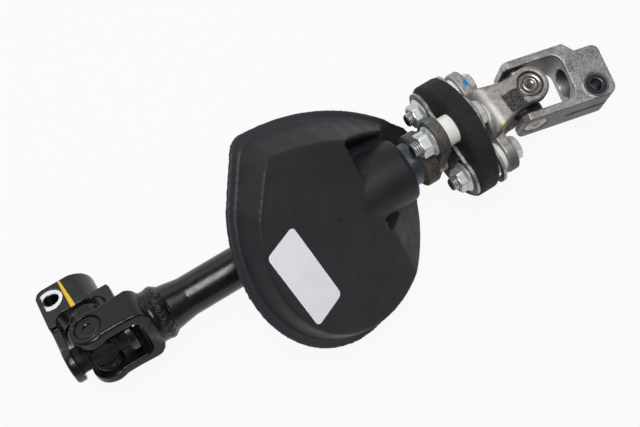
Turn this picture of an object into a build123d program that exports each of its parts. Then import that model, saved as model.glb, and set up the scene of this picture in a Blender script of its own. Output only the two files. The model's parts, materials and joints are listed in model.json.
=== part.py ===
from build123d import *
from math import cos, radians, sin, sqrt
import os

# Steering intermediate shaft with a rubber coupling, in millimetres.
# It is drawn with +X along the main shaft towards the steering column and the rubber
# disc's centre at zero, and is moved at the end so that the column clamp's bore is the origin.

# Rubber coupling and its fasteners
DISC_THICKNESS = 12.0
DISC_HOLE_RADIUS = 11.0
DISC_EDGE_CHAMFER = 1.2
BOLT_EDGE_DISTANCE = 12.9
BOLT_TO_TUBE_GAP = 1.0
BOLT_RADIUS = 4.0
BOLT_LENGTH = 40.0
BOLT_HOLE_CLEARANCE = 0.2
HEX_ACROSS_FLATS = 13.0
HEAD_HEIGHT = 5.3
NUT_HEIGHT = 8.0
WASHER_RADIUS = 8.8
WASHER_HEIGHT = 1.6
SLEEVE_RADIUS = 6.0
SPACER_RADIUS = 8.5
SHAFT_SPACER_LENGTH = 7.5
YOKE_SPACER_LENGTH = 9.5
STOP_PLATE_THICKNESS = 1.8
STOP_PLATE_RISE = 3.4
STOP_HOLE_CLEARANCE = 1.5
STOP_PLATE_RIM = 3.4
STOP_PLATE_WAIST = 11.0
STOP_JOGGLE_REACH = 12.2
STOP_PLATE_BORE = 6.8
FLANGE_THICKNESS = 6.5
SHAFT_EAR_RADIUS = 11.5
YOKE_EAR_RADIUS = 11.0
YOKE_HUB_RADIUS = 17.0

# Upper tube
TUBE_RADIUS = 12.8
TUBE_BORE_RADIUS = 10.6
FLANGE_HUB_RADIUS = 16.0
FLANGE_HUB_LENGTH = 9.0
FLANGE_WEB = 1.5
SPOTFACE_CLEARANCE = 0.3
FLUTE_COUNT = 6
FLUTE_RADIUS = 1.1
FLUTE_CLEARANCE = 0.15

# Sliding lower shaft
COMPRESS_TRAVEL = 26.0
EXTEND_TRAVEL = 18.0
TRAVEL_MARGIN = 3.0
SLIDE_SLEEVE_LENGTH = 36.0
SLIDE_SLEEVE_SETBACK = 1.0
SLIDE_SLEEVE_OVERLAP = 2.0
SLIDE_CLEARANCE = 0.1
SHAFT_END_RADIUS = 9.4
SHAFT_RADIUS = 11.2
SHAFT_WALL = 2.4
SHAFT_SHOULDER = 3.0
SOCKET_RADIUS = 13.0
SOCKET_DEPTH = 8.0
SOCKET_REACH = 37.0
SOCKET_WALL = 2.5
WELD_LENGTH = 3.5
SHAFT_BELL_LENGTH = 4.0
SHAFT_TAPER_LENGTH = 11.0
CAP_RADIUS = 14.2
CAP_OVERLAP = 6.0
CAP_LIP = 2.0
CAP_CLEARANCE = 0.3

# Universal joints, one kit for both
JOINT_SPACING = 275.3
YOKE_REACH = 26.3
TRUNNION_RADIUS = 5.0
TRUNNION_END_CLEARANCE = 0.1
TRUNNION_DRILL_RADIUS = 1.6
TRUNNION_DRILL_DEPTH = 6.0
NEEDLE_CLEARANCE = 0.03
NEEDLE_RING = 1.4
CUP_RADIUS = 7.5
CUP_REACH = 18.4
CUP_LENGTH = 9.2
CUP_FLOOR = 1.2
SEAL_RADIUS = 7.2
SEAL_LENGTH = 1.2
SEAL_CLEARANCE = 0.3
CROSS_SHOULDER_RADIUS = 6.3
CROSS_SHOULDER_REACH = 7.7
CROSS_BODY_RADIUS = 7.6
CROSS_BODY_HEIGHT = 11.5
EAR_RADIUS = 10.8
EAR_REACH = 19.0
EAR_THICKNESS = 6.0
EAR_CHAMFER = 1.0
ARM_HALF_WIDTH = 9.6
ARM_STRAIGHT = 13.0
YOKE_ROOT_HALF_WIDTH = 15.0
WINDOW_DEPTH = 24.0
WINDOW_CORNER = 5.0
FORK_BASE = 6.0
FORK_SHOULDER_ROUND = 9.0
FORK_NECK_RADIUS = 15.0

# Clamp yokes at both ends
CLAMP_BORE_RADIUS = 8.5
CLAMP_WALL = 4.3
CLAMP_WINDOW_DEPTH = 25.2
CLAMP_ARM_END = 9.3
CLAMP_ARM_CORNER = 2.0
CLAMP_ARM_CHAMFER = 3.2
CLAMP_ARM_THICKNESS = 4.9
CLAMP_WINDOW_CORNER = 6.5
CLAMP_LENGTH = 23.0
CLAMP_NOTCH_START = 29.2
CLAMP_NOTCH_END = 34.2
CLAMP_CORNER_ROUND = 6.0
CLAMP_SLIT = 2.5
CLAMP_SLIT_START = 18.0
CLAMP_BOLT_OFFSET = 11.0
CLAMP_BOLT_FROM_END = 10.8
CLAMP_THREAD_RADIUS = 3.4
CLAMP_BOLT_HOLE_RADIUS = 4.25
CLAMP_BOSS_RADIUS = 7.4
CLAMP_BOSS_HEIGHT = 0.3

# Moulded cover: a rim plane, a face plane and a slope that runs down beside the boss
RIM_LEAN = 60.31
RIM_ROLL = 36.1
RIM_TWIST = 33.77
RIM_TO_BOSS_END = 41.94
FACE_LEAN = 63.3
FACE_ROLL = 36.4
FACE_TWIST = 34.0
FACE_FROM_BOSS_END = 32.2
SLOPE_LEAN = 43.4
SLOPE_ROLL = 34.2
SLOPE_TO_BOSS_END = 11.3
COVER_TO_HUB_GAP = 6.5
BOSS_RADIUS = 19.0
BOSS_ROOT = 40.0
BOSS_WALL = 2.5
BOSS_LIP = 1.2
COUPLING_CLEARANCE = 0.7
RIM_ARC_RADIUS = 74.84
RIM_ARC_ALONG = -8.31
RIM_ARC_UP = -3.11
RIM_CREST_ALONG = 6.4
RIM_CREST_UP = 53.19
FACE_ARC_RADIUS = 62.2
FACE_ARC_ALONG = -18.8
FACE_ARC_UP = -11.5
FACE_CREST_ALONG = -8.0
FACE_CREST_UP = 30.4
CREST_RADIUS = 190.0
COVER_SIDE_LEAN = 4.0
COVER_CORNER_ROUND = 11.0
COVER_WALL = 2.2
COVER_FLANGE = 2.5
COVER_HEIGHT = 16.0
COVER_FLANGE_WIDTH = 4.5
POCKET_CORNER_ACROSS = 20.7
POCKET_CORNER_UP = 34.4
POCKET_TURN = 38.4
POCKET_LENGTH = 59.5
POCKET_WIDTH = 41.0
POCKET_SIDE_SLANT = 26.0
POCKET_END_SLANT = 5.0
WELL_DEPTH = 14.0
BUSH_CLEARANCE = 0.05
BUSH_LENGTH = 18.0
LIP_SEAL_LENGTH = 4.0
LIP_SEAL_CLEARANCE = 0.3
LABEL_LENGTH = 50.0
LABEL_WIDTH = 23.0
LABEL_THICKNESS = 0.25
LABEL_CORNER = 3.0
LABEL_ALONG = -51.3
LABEL_UP = -41.5
LABEL_TURN = -46.2

# Pose in which it lies in the photograph, degrees
LOWER_FORK_ROLL = 29.2
GEAR_YOKE_FOLD = 90.0
COLUMN_YOKE_BEND = 12.0

# Stations along the shaft, worked out from the sizes above
DISC_FACE = DISC_THICKNESS / 2
BOLT_CIRCLE_RADIUS = TUBE_RADIUS + BOLT_TO_TUBE_GAP + WASHER_RADIUS
DISC_RADIUS = BOLT_CIRCLE_RADIUS + BOLT_EDGE_DISTANCE
SHAFT_FLANGE_FRONT = -DISC_FACE - SHAFT_SPACER_LENGTH
SHAFT_FLANGE_BACK = SHAFT_FLANGE_FRONT - FLANGE_THICKNESS
YOKE_FLANGE_BACK = DISC_FACE + YOKE_SPACER_LENGTH
YOKE_FLANGE_FRONT = YOKE_FLANGE_BACK + FLANGE_THICKNESS
PLATE_FACE = DISC_FACE + STOP_PLATE_THICKNESS
UPPER_JOINT = YOKE_FLANGE_FRONT + YOKE_REACH
LOWER_JOINT = UPPER_JOINT - JOINT_SPACING
TUBE_FRONT = SHAFT_FLANGE_FRONT - FLANGE_WEB
HUB_END = SHAFT_FLANGE_BACK - FLANGE_HUB_LENGTH
SHAFT_END = TUBE_FRONT - TRAVEL_MARGIN - COMPRESS_TRAVEL
SLIDE_SLEEVE_FRONT = SHAFT_END - SLIDE_SLEEVE_SETBACK
SLIDE_SLEEVE_BACK = SLIDE_SLEEVE_FRONT - SLIDE_SLEEVE_LENGTH
TUBE_MOUTH = SLIDE_SLEEVE_BACK - EXTEND_TRAVEL - SLIDE_SLEEVE_OVERLAP
CAP_END = TUBE_MOUTH - CAP_LIP
SHOULDER = CAP_END - COMPRESS_TRAVEL - TRAVEL_MARGIN
SOCKET_END = LOWER_JOINT + SOCKET_REACH
BOSS_END = HUB_END - COVER_TO_HUB_GAP
RIM_PIERCE = BOSS_END - RIM_TO_BOSS_END
FACE_ORIGIN = BOSS_END - FACE_FROM_BOSS_END
SLOPE_PIERCE = BOSS_END - SLOPE_TO_BOSS_END
CLAMP_END = CLAMP_WINDOW_DEPTH + CLAMP_LENGTH
CLAMP_BOLT_STATION = CLAMP_END - CLAMP_BOLT_FROM_END
CLAMP_HALF_WIDTH = CLAMP_BORE_RADIUS + CLAMP_WALL
EAR_INSIDE = EAR_REACH - EAR_THICKNESS
CUP_MOUTH = CUP_REACH - CUP_LENGTH
BOLT_HOLE_RADIUS = BOLT_RADIUS + BOLT_HOLE_CLEARANCE
REACH_PAST = JOINT_SPACING
MATCH = 0.01


# Basic shapes
def turned(*profile):
    """A solid of revolution about X from its (station, radius) corners."""
    return revolve(make_face(Polyline(*profile, close=True)), axis=Axis.X)


def rod(radius, start, end, y=0.0, z=0.0):
    """A cylinder along X."""
    return extrude(Plane.YZ.offset(start) * Pos(y, z) * Circle(radius), end - start)


def ring(outer, inner, start, end, y=0.0, z=0.0):
    """A tube along X."""
    return rod(outer, start, end, y, z) - rod(inner, start, end, y, z)


def plate(sketch, start, end):
    """A sketch drawn looking along X, given a thickness."""
    return extrude(Plane.YZ.offset(start) * sketch, end - start)


def as_group(solids):
    """Identical pieces that share one node."""
    return Compound(children=[Solid(s.solids()[0].wrapped) for s in solids])


def on_shaft_bolts(make):
    """One piece at each bolt of the shaft flange, near and far."""
    return as_group([make(0.0, BOLT_CIRCLE_RADIUS), make(0.0, -BOLT_CIRCLE_RADIUS)])


def on_yoke_bolts(make):
    """One piece at each bolt of the yoke flange, left and right."""
    return as_group([make(BOLT_CIRCLE_RADIUS, 0.0), make(-BOLT_CIRCLE_RADIUS, 0.0)])


# Fasteners
def hexagon(y, z):
    corner_radius = HEX_ACROSS_FLATS / 2 / cos(radians(30))
    return Pos(y, z) * RegularPolygon(corner_radius, 6)


def flange_bolt(seat, y, z):
    """A flanged hex bolt whose head sits on the plane x = seat and points to +X."""
    washer = rod(WASHER_RADIUS, seat, seat + WASHER_HEIGHT, y, z)
    head = plate(hexagon(y, z), seat, seat + HEAD_HEIGHT)
    shank = rod(BOLT_RADIUS, seat - BOLT_LENGTH, seat, y, z)
    return washer + head + shank


def flange_nut(seat, y, z):
    """A flanged hex nut that sits on the plane x = seat and points to -X."""
    washer = rod(WASHER_RADIUS, seat - WASHER_HEIGHT, seat, y, z)
    body = plate(hexagon(y, z), seat - NUT_HEIGHT, seat)
    return washer + body - rod(BOLT_RADIUS, seat - NUT_HEIGHT, seat, y, z)


# Rubber coupling
def rubber_disc():
    disc = rod(DISC_RADIUS, -DISC_FACE, DISC_FACE)
    disc = chamfer(disc.edges().filter_by(GeomType.CIRCLE), DISC_EDGE_CHAMFER)
    disc -= rod(DISC_HOLE_RADIUS, -DISC_FACE, DISC_FACE)
    for y, z in ((0, 1), (0, -1), (1, 0), (-1, 0)):
        hole_at = (y * BOLT_CIRCLE_RADIUS, z * BOLT_CIRCLE_RADIUS)
        disc -= rod(SLEEVE_RADIUS, -DISC_FACE, DISC_FACE, *hole_at)
    return disc


def disc_sleeve(y, z):
    return ring(SLEEVE_RADIUS, BOLT_HOLE_RADIUS, -DISC_FACE, DISC_FACE, y, z)


def shaft_spacer(y, z):
    return ring(SPACER_RADIUS, BOLT_HOLE_RADIUS, SHAFT_FLANGE_FRONT, -DISC_FACE, y, z)


def yoke_spacer(y, z):
    return ring(SPACER_RADIUS, BOLT_HOLE_RADIUS, DISC_FACE, YOKE_FLANGE_BACK, y, z)


def column_side_stop_plate():
    """Clamped under the shaft flange's bolt heads, with a raised eye round each yoke spacer."""
    eye_radius = SPACER_RADIUS + STOP_HOLE_CLEARANCE
    tab_half_width = eye_radius + STOP_PLATE_RIM
    step = STOP_JOGGLE_REACH
    raised = DISC_FACE + STOP_PLATE_RISE
    middle = Rectangle(2 * step, 2 * BOLT_CIRCLE_RADIUS)
    for side in (1, -1):
        middle += Pos(0, side * BOLT_CIRCLE_RADIUS) * Circle(step)
    body = plate(middle, DISC_FACE, PLATE_FACE)
    for side in (1, -1):
        eye = Pos(side * BOLT_CIRCLE_RADIUS, 0) * Circle(tab_half_width)
        neck_length = BOLT_CIRCLE_RADIUS - step + STOP_PLATE_THICKNESS
        neck = Pos(side * (BOLT_CIRCLE_RADIUS - neck_length / 2), 0) * Rectangle(neck_length, 2 * tab_half_width)
        inner_edge = step - STOP_PLATE_THICKNESS
        keep = Pos(side * (inner_edge + DISC_RADIUS), 0) * Rectangle(2 * DISC_RADIUS, 4 * tab_half_width)
        riser_place = Pos(side * (step - STOP_PLATE_THICKNESS / 2), 0)
        riser = riser_place * Rectangle(STOP_PLATE_THICKNESS, 2 * tab_half_width)
        body += plate((eye + neck) & keep, raised, raised + STOP_PLATE_THICKNESS)
        body += plate(riser, DISC_FACE, raised + STOP_PLATE_THICKNESS)
        body -= rod(eye_radius, DISC_FACE, raised + STOP_PLATE_THICKNESS, side * BOLT_CIRCLE_RADIUS, 0)
        body -= rod(BOLT_HOLE_RADIUS, DISC_FACE, PLATE_FACE, 0, side * BOLT_CIRCLE_RADIUS)
    return body - rod(STOP_PLATE_BORE, DISC_FACE, PLATE_FACE)


def shaft_side_stop_plate():
    """A flat butterfly clamped under the yoke bolts' nuts, waisted between the shaft spacers."""
    lobe_radius = SPACER_RADIUS + STOP_PLATE_RIM
    outline = Rectangle(2 * BOLT_CIRCLE_RADIUS, 2 * STOP_PLATE_WAIST)
    for side in (1, -1):
        outline += Pos(side * BOLT_CIRCLE_RADIUS, 0) * Circle(lobe_radius)
    body = plate(outline, -PLATE_FACE, -DISC_FACE)
    for side in (1, -1):
        body -= rod(BOLT_HOLE_RADIUS, -PLATE_FACE, -DISC_FACE, side * BOLT_CIRCLE_RADIUS, 0)
    return body - rod(STOP_PLATE_BORE, -PLATE_FACE, -DISC_FACE)


# Upper tube, its flange and its mouth cap
def shaft_flange():
    """Two near and far ears on a hub that is welded round the tube's end."""
    outline = Rectangle(2 * SHAFT_EAR_RADIUS, 2 * BOLT_CIRCLE_RADIUS)
    for side in (1, -1):
        outline += Pos(0, side * BOLT_CIRCLE_RADIUS) * Circle(SHAFT_EAR_RADIUS)
    body = plate(outline, SHAFT_FLANGE_BACK, SHAFT_FLANGE_FRONT)
    hub_chamfer = FLANGE_HUB_RADIUS - TUBE_RADIUS
    body += turned(
        (SHAFT_FLANGE_BACK, 0),
        (SHAFT_FLANGE_BACK, FLANGE_HUB_RADIUS),
        (HUB_END + hub_chamfer / 2, FLANGE_HUB_RADIUS),
        (HUB_END, TUBE_RADIUS),
        (HUB_END, 0),
    )
    for side in (1, -1):
        bolt_height = side * BOLT_CIRCLE_RADIUS
        body -= rod(BOLT_HOLE_RADIUS, SHAFT_FLANGE_BACK, SHAFT_FLANGE_FRONT, 0, bolt_height)
        body -= rod(WASHER_RADIUS + SPOTFACE_CLEARANCE, HUB_END, SHAFT_FLANGE_BACK, 0, bolt_height)
    return body - rod(TUBE_RADIUS, HUB_END, TUBE_FRONT)


def flute_circles(radius_change):
    """The ribs of the slide fit, as circles centred on the tube's bore."""
    circles = Sketch()
    for index in range(FLUTE_COUNT):
        circles += Rot(0, 0, index * 360 / FLUTE_COUNT) * Pos(TUBE_BORE_RADIUS, 0) * Circle(
            FLUTE_RADIUS + radius_change
        )
    return circles


def upper_tube():
    bore = Circle(TUBE_BORE_RADIUS) + flute_circles(0)
    return plate(Circle(TUBE_RADIUS) - bore, TUBE_MOUTH, TUBE_FRONT)


def slide_sleeve():
    """Nylon moulded on the lower shaft's end, with ribs that run in the tube's flutes."""
    outline = Circle(TUBE_BORE_RADIUS - SLIDE_CLEARANCE) + flute_circles(-FLUTE_CLEARANCE)
    return plate(outline - Circle(SHAFT_END_RADIUS), SLIDE_SLEEVE_BACK, SLIDE_SLEEVE_FRONT)


def tube_mouth_cap():
    lip_radius = SHAFT_END_RADIUS + CAP_CLEARANCE
    return turned(
        (CAP_END, lip_radius),
        (CAP_END, TUBE_RADIUS),
        (TUBE_MOUTH, CAP_RADIUS),
        (TUBE_MOUTH + CAP_OVERLAP, CAP_RADIUS),
        (TUBE_MOUTH + CAP_OVERLAP, TUBE_RADIUS),
        (TUBE_MOUTH, TUBE_RADIUS),
        (TUBE_MOUTH, lip_radius),
    )


# Lower shaft
def lower_tube():
    """A black tube, belled into the fork's socket and swaged down where it slides."""
    bell_end = SOCKET_END + SHAFT_BELL_LENGTH
    taper_end = bell_end + SHAFT_TAPER_LENGTH
    outside = [
        (SOCKET_END - SOCKET_DEPTH, SOCKET_RADIUS),
        (bell_end, SOCKET_RADIUS),
        (taper_end, SHAFT_RADIUS),
        (SHOULDER, SHAFT_RADIUS),
        (SHOULDER + SHAFT_SHOULDER, SHAFT_END_RADIUS),
        (SHAFT_END, SHAFT_END_RADIUS),
    ]
    inside = [(x, r - SHAFT_WALL) for x, r in reversed(outside)]
    return turned(*outside, *inside)


# Universal joint kit, drawn about a joint centre with its pins along Z
def both_pin_ends(make):
    """One piece at each end of the pin, drawn along +X and turned onto +Z and -Z."""
    piece = make()
    return as_group([Rot(0, -90, 0) * piece, Rot(0, 90, 0) * piece])


def cup():
    """A bearing cup, closed at its outer end."""
    bore = TRUNNION_RADIUS + NEEDLE_CLEARANCE + NEEDLE_RING
    return turned(
        (CUP_MOUTH, CUP_RADIUS),
        (CUP_REACH, CUP_RADIUS),
        (CUP_REACH, 0),
        (CUP_REACH - CUP_FLOOR, 0),
        (CUP_REACH - CUP_FLOOR, bore),
        (CUP_MOUTH, bore),
    )


def needle_ring():
    """The needle rollers of one cup, as one sleeve of their thickness."""
    inner = TRUNNION_RADIUS + NEEDLE_CLEARANCE
    return ring(inner + NEEDLE_RING, inner, CUP_MOUTH, CUP_REACH - CUP_FLOOR)


def trunnion_seal():
    return ring(SEAL_RADIUS, TRUNNION_RADIUS + SEAL_CLEARANCE, CUP_MOUTH - SEAL_LENGTH, CUP_MOUTH)


def cross():
    """The forged cross: pins along Z and Y, with grease drillings in their ends."""
    half = CROSS_BODY_HEIGHT / 2
    end = CUP_REACH - CUP_FLOOR - TRUNNION_END_CLEARANCE
    body = rod(CROSS_BODY_RADIUS, -half, half)
    for turn in (Rot(0, -90, 0), Rot(0, 90, 0), Rot(0, 0, 90), Rot(0, 0, -90)):
        body += turn * rod(CROSS_SHOULDER_RADIUS, 0, CROSS_SHOULDER_REACH)
        body += turn * rod(TRUNNION_RADIUS, 0, end)
        body -= turn * rod(TRUNNION_DRILL_RADIUS, end - TRUNNION_DRILL_DEPTH, end)
    return body


def ear_outline(root_half_width, length):
    """A yoke seen along its pin: a round ear that runs into arms towards +X."""
    arm = make_face(
        Polyline(
            (0, -ARM_HALF_WIDTH),
            (ARM_STRAIGHT, -ARM_HALF_WIDTH),
            (length, -root_half_width),
            (length, root_half_width),
            (ARM_STRAIGHT, ARM_HALF_WIDTH),
            (0, ARM_HALF_WIDTH),
            close=True,
        )
    )
    return Circle(EAR_RADIUS) + arm


def ear_blank(outline, height):
    """The outline along Z, with the ears' outer rims chamfered."""
    blank = extrude(outline, height, both=True)
    rims = [e for e in blank.edges() if abs(abs(e.center().Z) - height) < MATCH]
    return chamfer(rims, EAR_CHAMFER)


def pin_bore():
    return Rot(0, -90, 0) * rod(CUP_RADIUS, -EAR_REACH, EAR_REACH)


def fork_arms(length, root_half_width):
    """Both arms of a fork along +X, with the bridge that joins them."""
    bow = Pos((length - EAR_RADIUS) / 2, 0) * Rectangle(length + EAR_RADIUS, 2 * EAR_REACH)
    bow_corners = bow.vertices().group_by(Axis.X)[-1]
    bow = fillet(bow_corners, FORK_SHOULDER_ROUND)
    window_length = WINDOW_DEPTH + 2 * EAR_RADIUS
    window = Pos(WINDOW_DEPTH - window_length / 2, 0) * RectangleRounded(
        window_length, 2 * EAR_INSIDE, WINDOW_CORNER
    )
    half_depth = max(EAR_RADIUS, root_half_width)
    arms = extrude(Plane.XZ * (bow - window), half_depth, both=True)
    return arms & ear_blank(ear_outline(root_half_width, length), EAR_REACH)


def lower_fork():
    """Shaft-side yoke of the lower joint: arms along +X and a socket for the tube."""
    length = WINDOW_DEPTH + FORK_BASE
    collar = SOCKET_RADIUS + SOCKET_WALL
    neck = turned(
        (WINDOW_DEPTH, 0),
        (WINDOW_DEPTH, ARM_HALF_WIDTH),
        (length, FORK_NECK_RADIUS),
        (SOCKET_REACH - WELD_LENGTH, FORK_NECK_RADIUS),
        (SOCKET_REACH - WELD_LENGTH / 2, collar),
        (SOCKET_REACH, collar),
        (SOCKET_REACH + WELD_LENGTH, SOCKET_RADIUS),
        (SOCKET_REACH + WELD_LENGTH, 0),
    )
    socket = rod(SOCKET_RADIUS, SOCKET_REACH - SOCKET_DEPTH, SOCKET_REACH + WELD_LENGTH)
    return fork_arms(length, EAR_RADIUS) + neck - socket - pin_bore()


def flange_yoke():
    """Coupling-side yoke of the upper joint: arms along -X from a two-eared flange."""
    length = YOKE_REACH + FLANGE_THICKNESS
    arms = fork_arms(length, YOKE_ROOT_HALF_WIDTH)
    flange = Rectangle(2 * BOLT_CIRCLE_RADIUS, 2 * YOKE_EAR_RADIUS) + Circle(YOKE_HUB_RADIUS)
    for side in (1, -1):
        flange += Pos(side * BOLT_CIRCLE_RADIUS, 0) * Circle(YOKE_EAR_RADIUS)
    body = arms - pin_bore() + plate(flange, YOKE_REACH, length)
    for side in (1, -1):
        bolt_place = side * BOLT_CIRCLE_RADIUS
        body -= rod(BOLT_HOLE_RADIUS, YOKE_REACH, length, bolt_place, 0)
        body -= rod(WASHER_RADIUS + SPOTFACE_CLEARANCE, YOKE_REACH - HEAD_HEIGHT, YOKE_REACH, bolt_place, 0)
    return body


def clamp_blank(arm_end):
    """The clamp yoke seen along its bolt: arms, window, notched back and bolt block."""
    back = -EAR_REACH
    clamp_back = -CLAMP_BORE_RADIUS - CLAMP_WALL
    outline = make_face(
        Polyline(
            (-arm_end, back),
            (CLAMP_NOTCH_START, back),
            (CLAMP_NOTCH_END, clamp_back),
            (CLAMP_END, clamp_back),
            (CLAMP_END, EAR_REACH),
            (-arm_end, EAR_REACH),
            close=True,
        )
    )
    far_corner = outline.vertices().group_by(Axis.X)[-1].sort_by(Axis.Y)[-1]
    outline = fillet(far_corner, CLAMP_CORNER_ROUND)
    arm_corners = outline.vertices().group_by(Axis.X)[0]
    outline = fillet(arm_corners, CLAMP_ARM_CORNER)
    arm_inside = EAR_REACH - CLAMP_ARM_THICKNESS
    window_length = CLAMP_WINDOW_DEPTH + 2 * arm_end
    window = Pos(CLAMP_WINDOW_DEPTH - window_length / 2, 0) * RectangleRounded(
        window_length, 2 * arm_inside, CLAMP_WINDOW_CORNER
    )
    return extrude(outline - window, CLAMP_HALF_WIDTH, both=True)


def flat_sided_yoke():
    """The column yoke's blank: one thick profile with flat sides and bevelled arm ends."""
    side = CLAMP_HALF_WIDTH
    bevel = CLAMP_ARM_CHAMFER
    edge_view = make_face(
        Polyline(
            (-CLAMP_ARM_END, bevel - side),
            (bevel - CLAMP_ARM_END, -side),
            (CLAMP_END, -side),
            (CLAMP_END, side),
            (bevel - CLAMP_ARM_END, side),
            (-CLAMP_ARM_END, side - bevel),
            close=True,
        )
    )
    return clamp_blank(CLAMP_ARM_END) & extrude(Plane.XZ * edge_view, EAR_REACH, both=True)


def round_backed_yoke():
    """The gear yoke's blank: round ears, and a clamp that is round behind its bore."""
    side_view = ear_blank(ear_outline(EAR_RADIUS, CLAMP_NOTCH_START), EAR_REACH)
    arms = Rot(90, 0, 0) * side_view
    section = Circle(CLAMP_HALF_WIDTH) + Pos(EAR_REACH / 2, 0) * Rectangle(EAR_REACH, 2 * CLAMP_HALF_WIDTH)
    clamp = plate(section, CLAMP_WINDOW_DEPTH - CLAMP_WINDOW_CORNER, CLAMP_END)
    return clamp_blank(EAR_RADIUS) & (arms + clamp)


def clamp_yoke(blank):
    """An end yoke: pins along Y, clamp bore along +X, bolt across it along Z."""
    boss_face = CLAMP_HALF_WIDTH + CLAMP_BOSS_HEIGHT
    bolt_place = Pos(CLAMP_BOLT_STATION, CLAMP_BOLT_OFFSET)
    boss = extrude(bolt_place * Circle(CLAMP_BOSS_RADIUS), boss_face, both=True)
    clear_of_bore = rod(CLAMP_BORE_RADIUS, CLAMP_WINDOW_DEPTH - CLAMP_WINDOW_CORNER, CLAMP_END)
    slit_length = CLAMP_END - CLAMP_SLIT_START
    slit_height = EAR_REACH + CLAMP_BOSS_HEIGHT
    slit_place = Pos(CLAMP_SLIT_START + slit_length / 2, slit_height / 2, 0)
    body = blank + boss - clear_of_bore - slit_place * Box(slit_length, slit_height, CLAMP_SLIT)
    body -= extrude(bolt_place * Circle(CLAMP_THREAD_RADIUS), -boss_face)
    body -= extrude(bolt_place * Circle(CLAMP_BOLT_HOLE_RADIUS), boss_face)
    return body - Rot(0, 0, 90) * rod(CUP_RADIUS, -EAR_REACH, EAR_REACH)


# Cover
def leaning_plane(station, lean, roll, twist=0.0):
    """A plane that the shaft's axis crosses at a station, leaning away from square to it."""
    normal = Vector(cos(lean), -sin(lean) * sin(roll), sin(lean) * cos(roll))
    downhill = (Vector(1, 0, 0) - normal * cos(lean)).normalized()
    level = normal.cross(downhill)
    along = downhill * cos(twist) - level * sin(twist)
    return Plane(origin=(station, 0, 0), x_dir=along, z_dir=normal)


def rim_plane():
    return leaning_plane(RIM_PIERCE, radians(RIM_LEAN), radians(RIM_ROLL), radians(RIM_TWIST))


def face_plane():
    plane = leaning_plane(FACE_ORIGIN, radians(FACE_LEAN), radians(FACE_ROLL), radians(FACE_TWIST))
    return plane.offset(COVER_HEIGHT)


def slope_plane():
    return leaning_plane(SLOPE_PIERCE, radians(SLOPE_LEAN), radians(SLOPE_ROLL))


def ahead_of(plane):
    """Everything on the side that the plane faces."""
    return extrude(plane * Rectangle(REACH_PAST, REACH_PAST), REACH_PAST)


def domed_outline(centre, radius, crest):
    """A round-bottomed outline under a shallow arched top."""
    centre_along, centre_up = centre
    crest_along, crest_up = crest
    left = centre_along - radius
    right = centre_along + radius

    def top_at(along):
        return crest_up - CREST_RADIUS + sqrt(CREST_RADIUS**2 - (along - crest_along) ** 2)

    left_top = left + COVER_SIDE_LEAN
    right_top = right - COVER_SIDE_LEAN
    edges = [
        ThreePointArc((left, centre_up), (centre_along, centre_up - radius), (right, centre_up)),
        Line((right, centre_up), (right_top, top_at(right_top))),
        ThreePointArc((right_top, top_at(right_top)), (crest_along, crest_up), (left_top, top_at(left_top))),
        Line((left_top, top_at(left_top)), (left, centre_up)),
    ]
    face = make_face(edges)
    corners = face.vertices().sort_by(Axis.Y)[-2:]
    return fillet(corners, COVER_CORNER_ROUND)


def rim_outline(inset):
    centre = (RIM_ARC_ALONG, RIM_ARC_UP)
    return domed_outline(centre, RIM_ARC_RADIUS - inset, (RIM_CREST_ALONG, RIM_CREST_UP - inset))


def face_outline(inset):
    centre = (FACE_ARC_ALONG, FACE_ARC_UP)
    return domed_outline(centre, FACE_ARC_RADIUS - inset, (FACE_CREST_ALONG, FACE_CREST_UP - inset))


def raised_form(wall):
    """The sloping wall, the face and the slope beside the boss, all shrunk inwards by a wall."""
    foot = rim_plane().offset(COVER_FLANGE if wall == 0 else 0) * rim_outline(COVER_FLANGE_WIDTH + wall)
    face = face_plane().offset(-wall) * face_outline(wall)
    form = loft([foot.face(), face.face()], ruled=True)
    return form - ahead_of(slope_plane().offset(-wall))


def pocket(wall):
    """The hollow round the boss, cut along the shaft down to the rim's plate."""
    outline = make_face(
        Polyline(
            (0, 0),
            (-POCKET_LENGTH, 0),
            (-POCKET_LENGTH + POCKET_END_SLANT, -POCKET_WIDTH),
            (-POCKET_SIDE_SLANT, -POCKET_WIDTH),
            close=True,
        )
    )
    corner = Pos(POCKET_CORNER_ACROSS, POCKET_CORNER_UP) * Rot(0, 0, POCKET_TURN)
    prism = plate(corner * offset(outline, wall), RIM_PIERCE - REACH_PAST, DISC_FACE)
    return prism & ahead_of(rim_plane().offset(COVER_FLANGE - wall))


def swept_space(gap):
    """The space round the shaft bolts, nuts and ears as they turn, with a gap all round."""
    bolt_end = PLATE_FACE - BOLT_LENGTH
    nut_end = SHAFT_FLANGE_BACK - NUT_HEIGHT
    ear_back = SHAFT_FLANGE_BACK - WASHER_HEIGHT
    return turned(
        (bolt_end - gap, 0),
        (bolt_end - gap, BOLT_CIRCLE_RADIUS + BOLT_RADIUS + gap),
        (nut_end - gap, BOLT_CIRCLE_RADIUS + WASHER_RADIUS + gap),
        (ear_back - gap, BOLT_CIRCLE_RADIUS + SHAFT_EAR_RADIUS + gap),
        (DISC_FACE, BOLT_CIRCLE_RADIUS + SHAFT_EAR_RADIUS + gap),
        (DISC_FACE, 0),
    )


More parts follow.
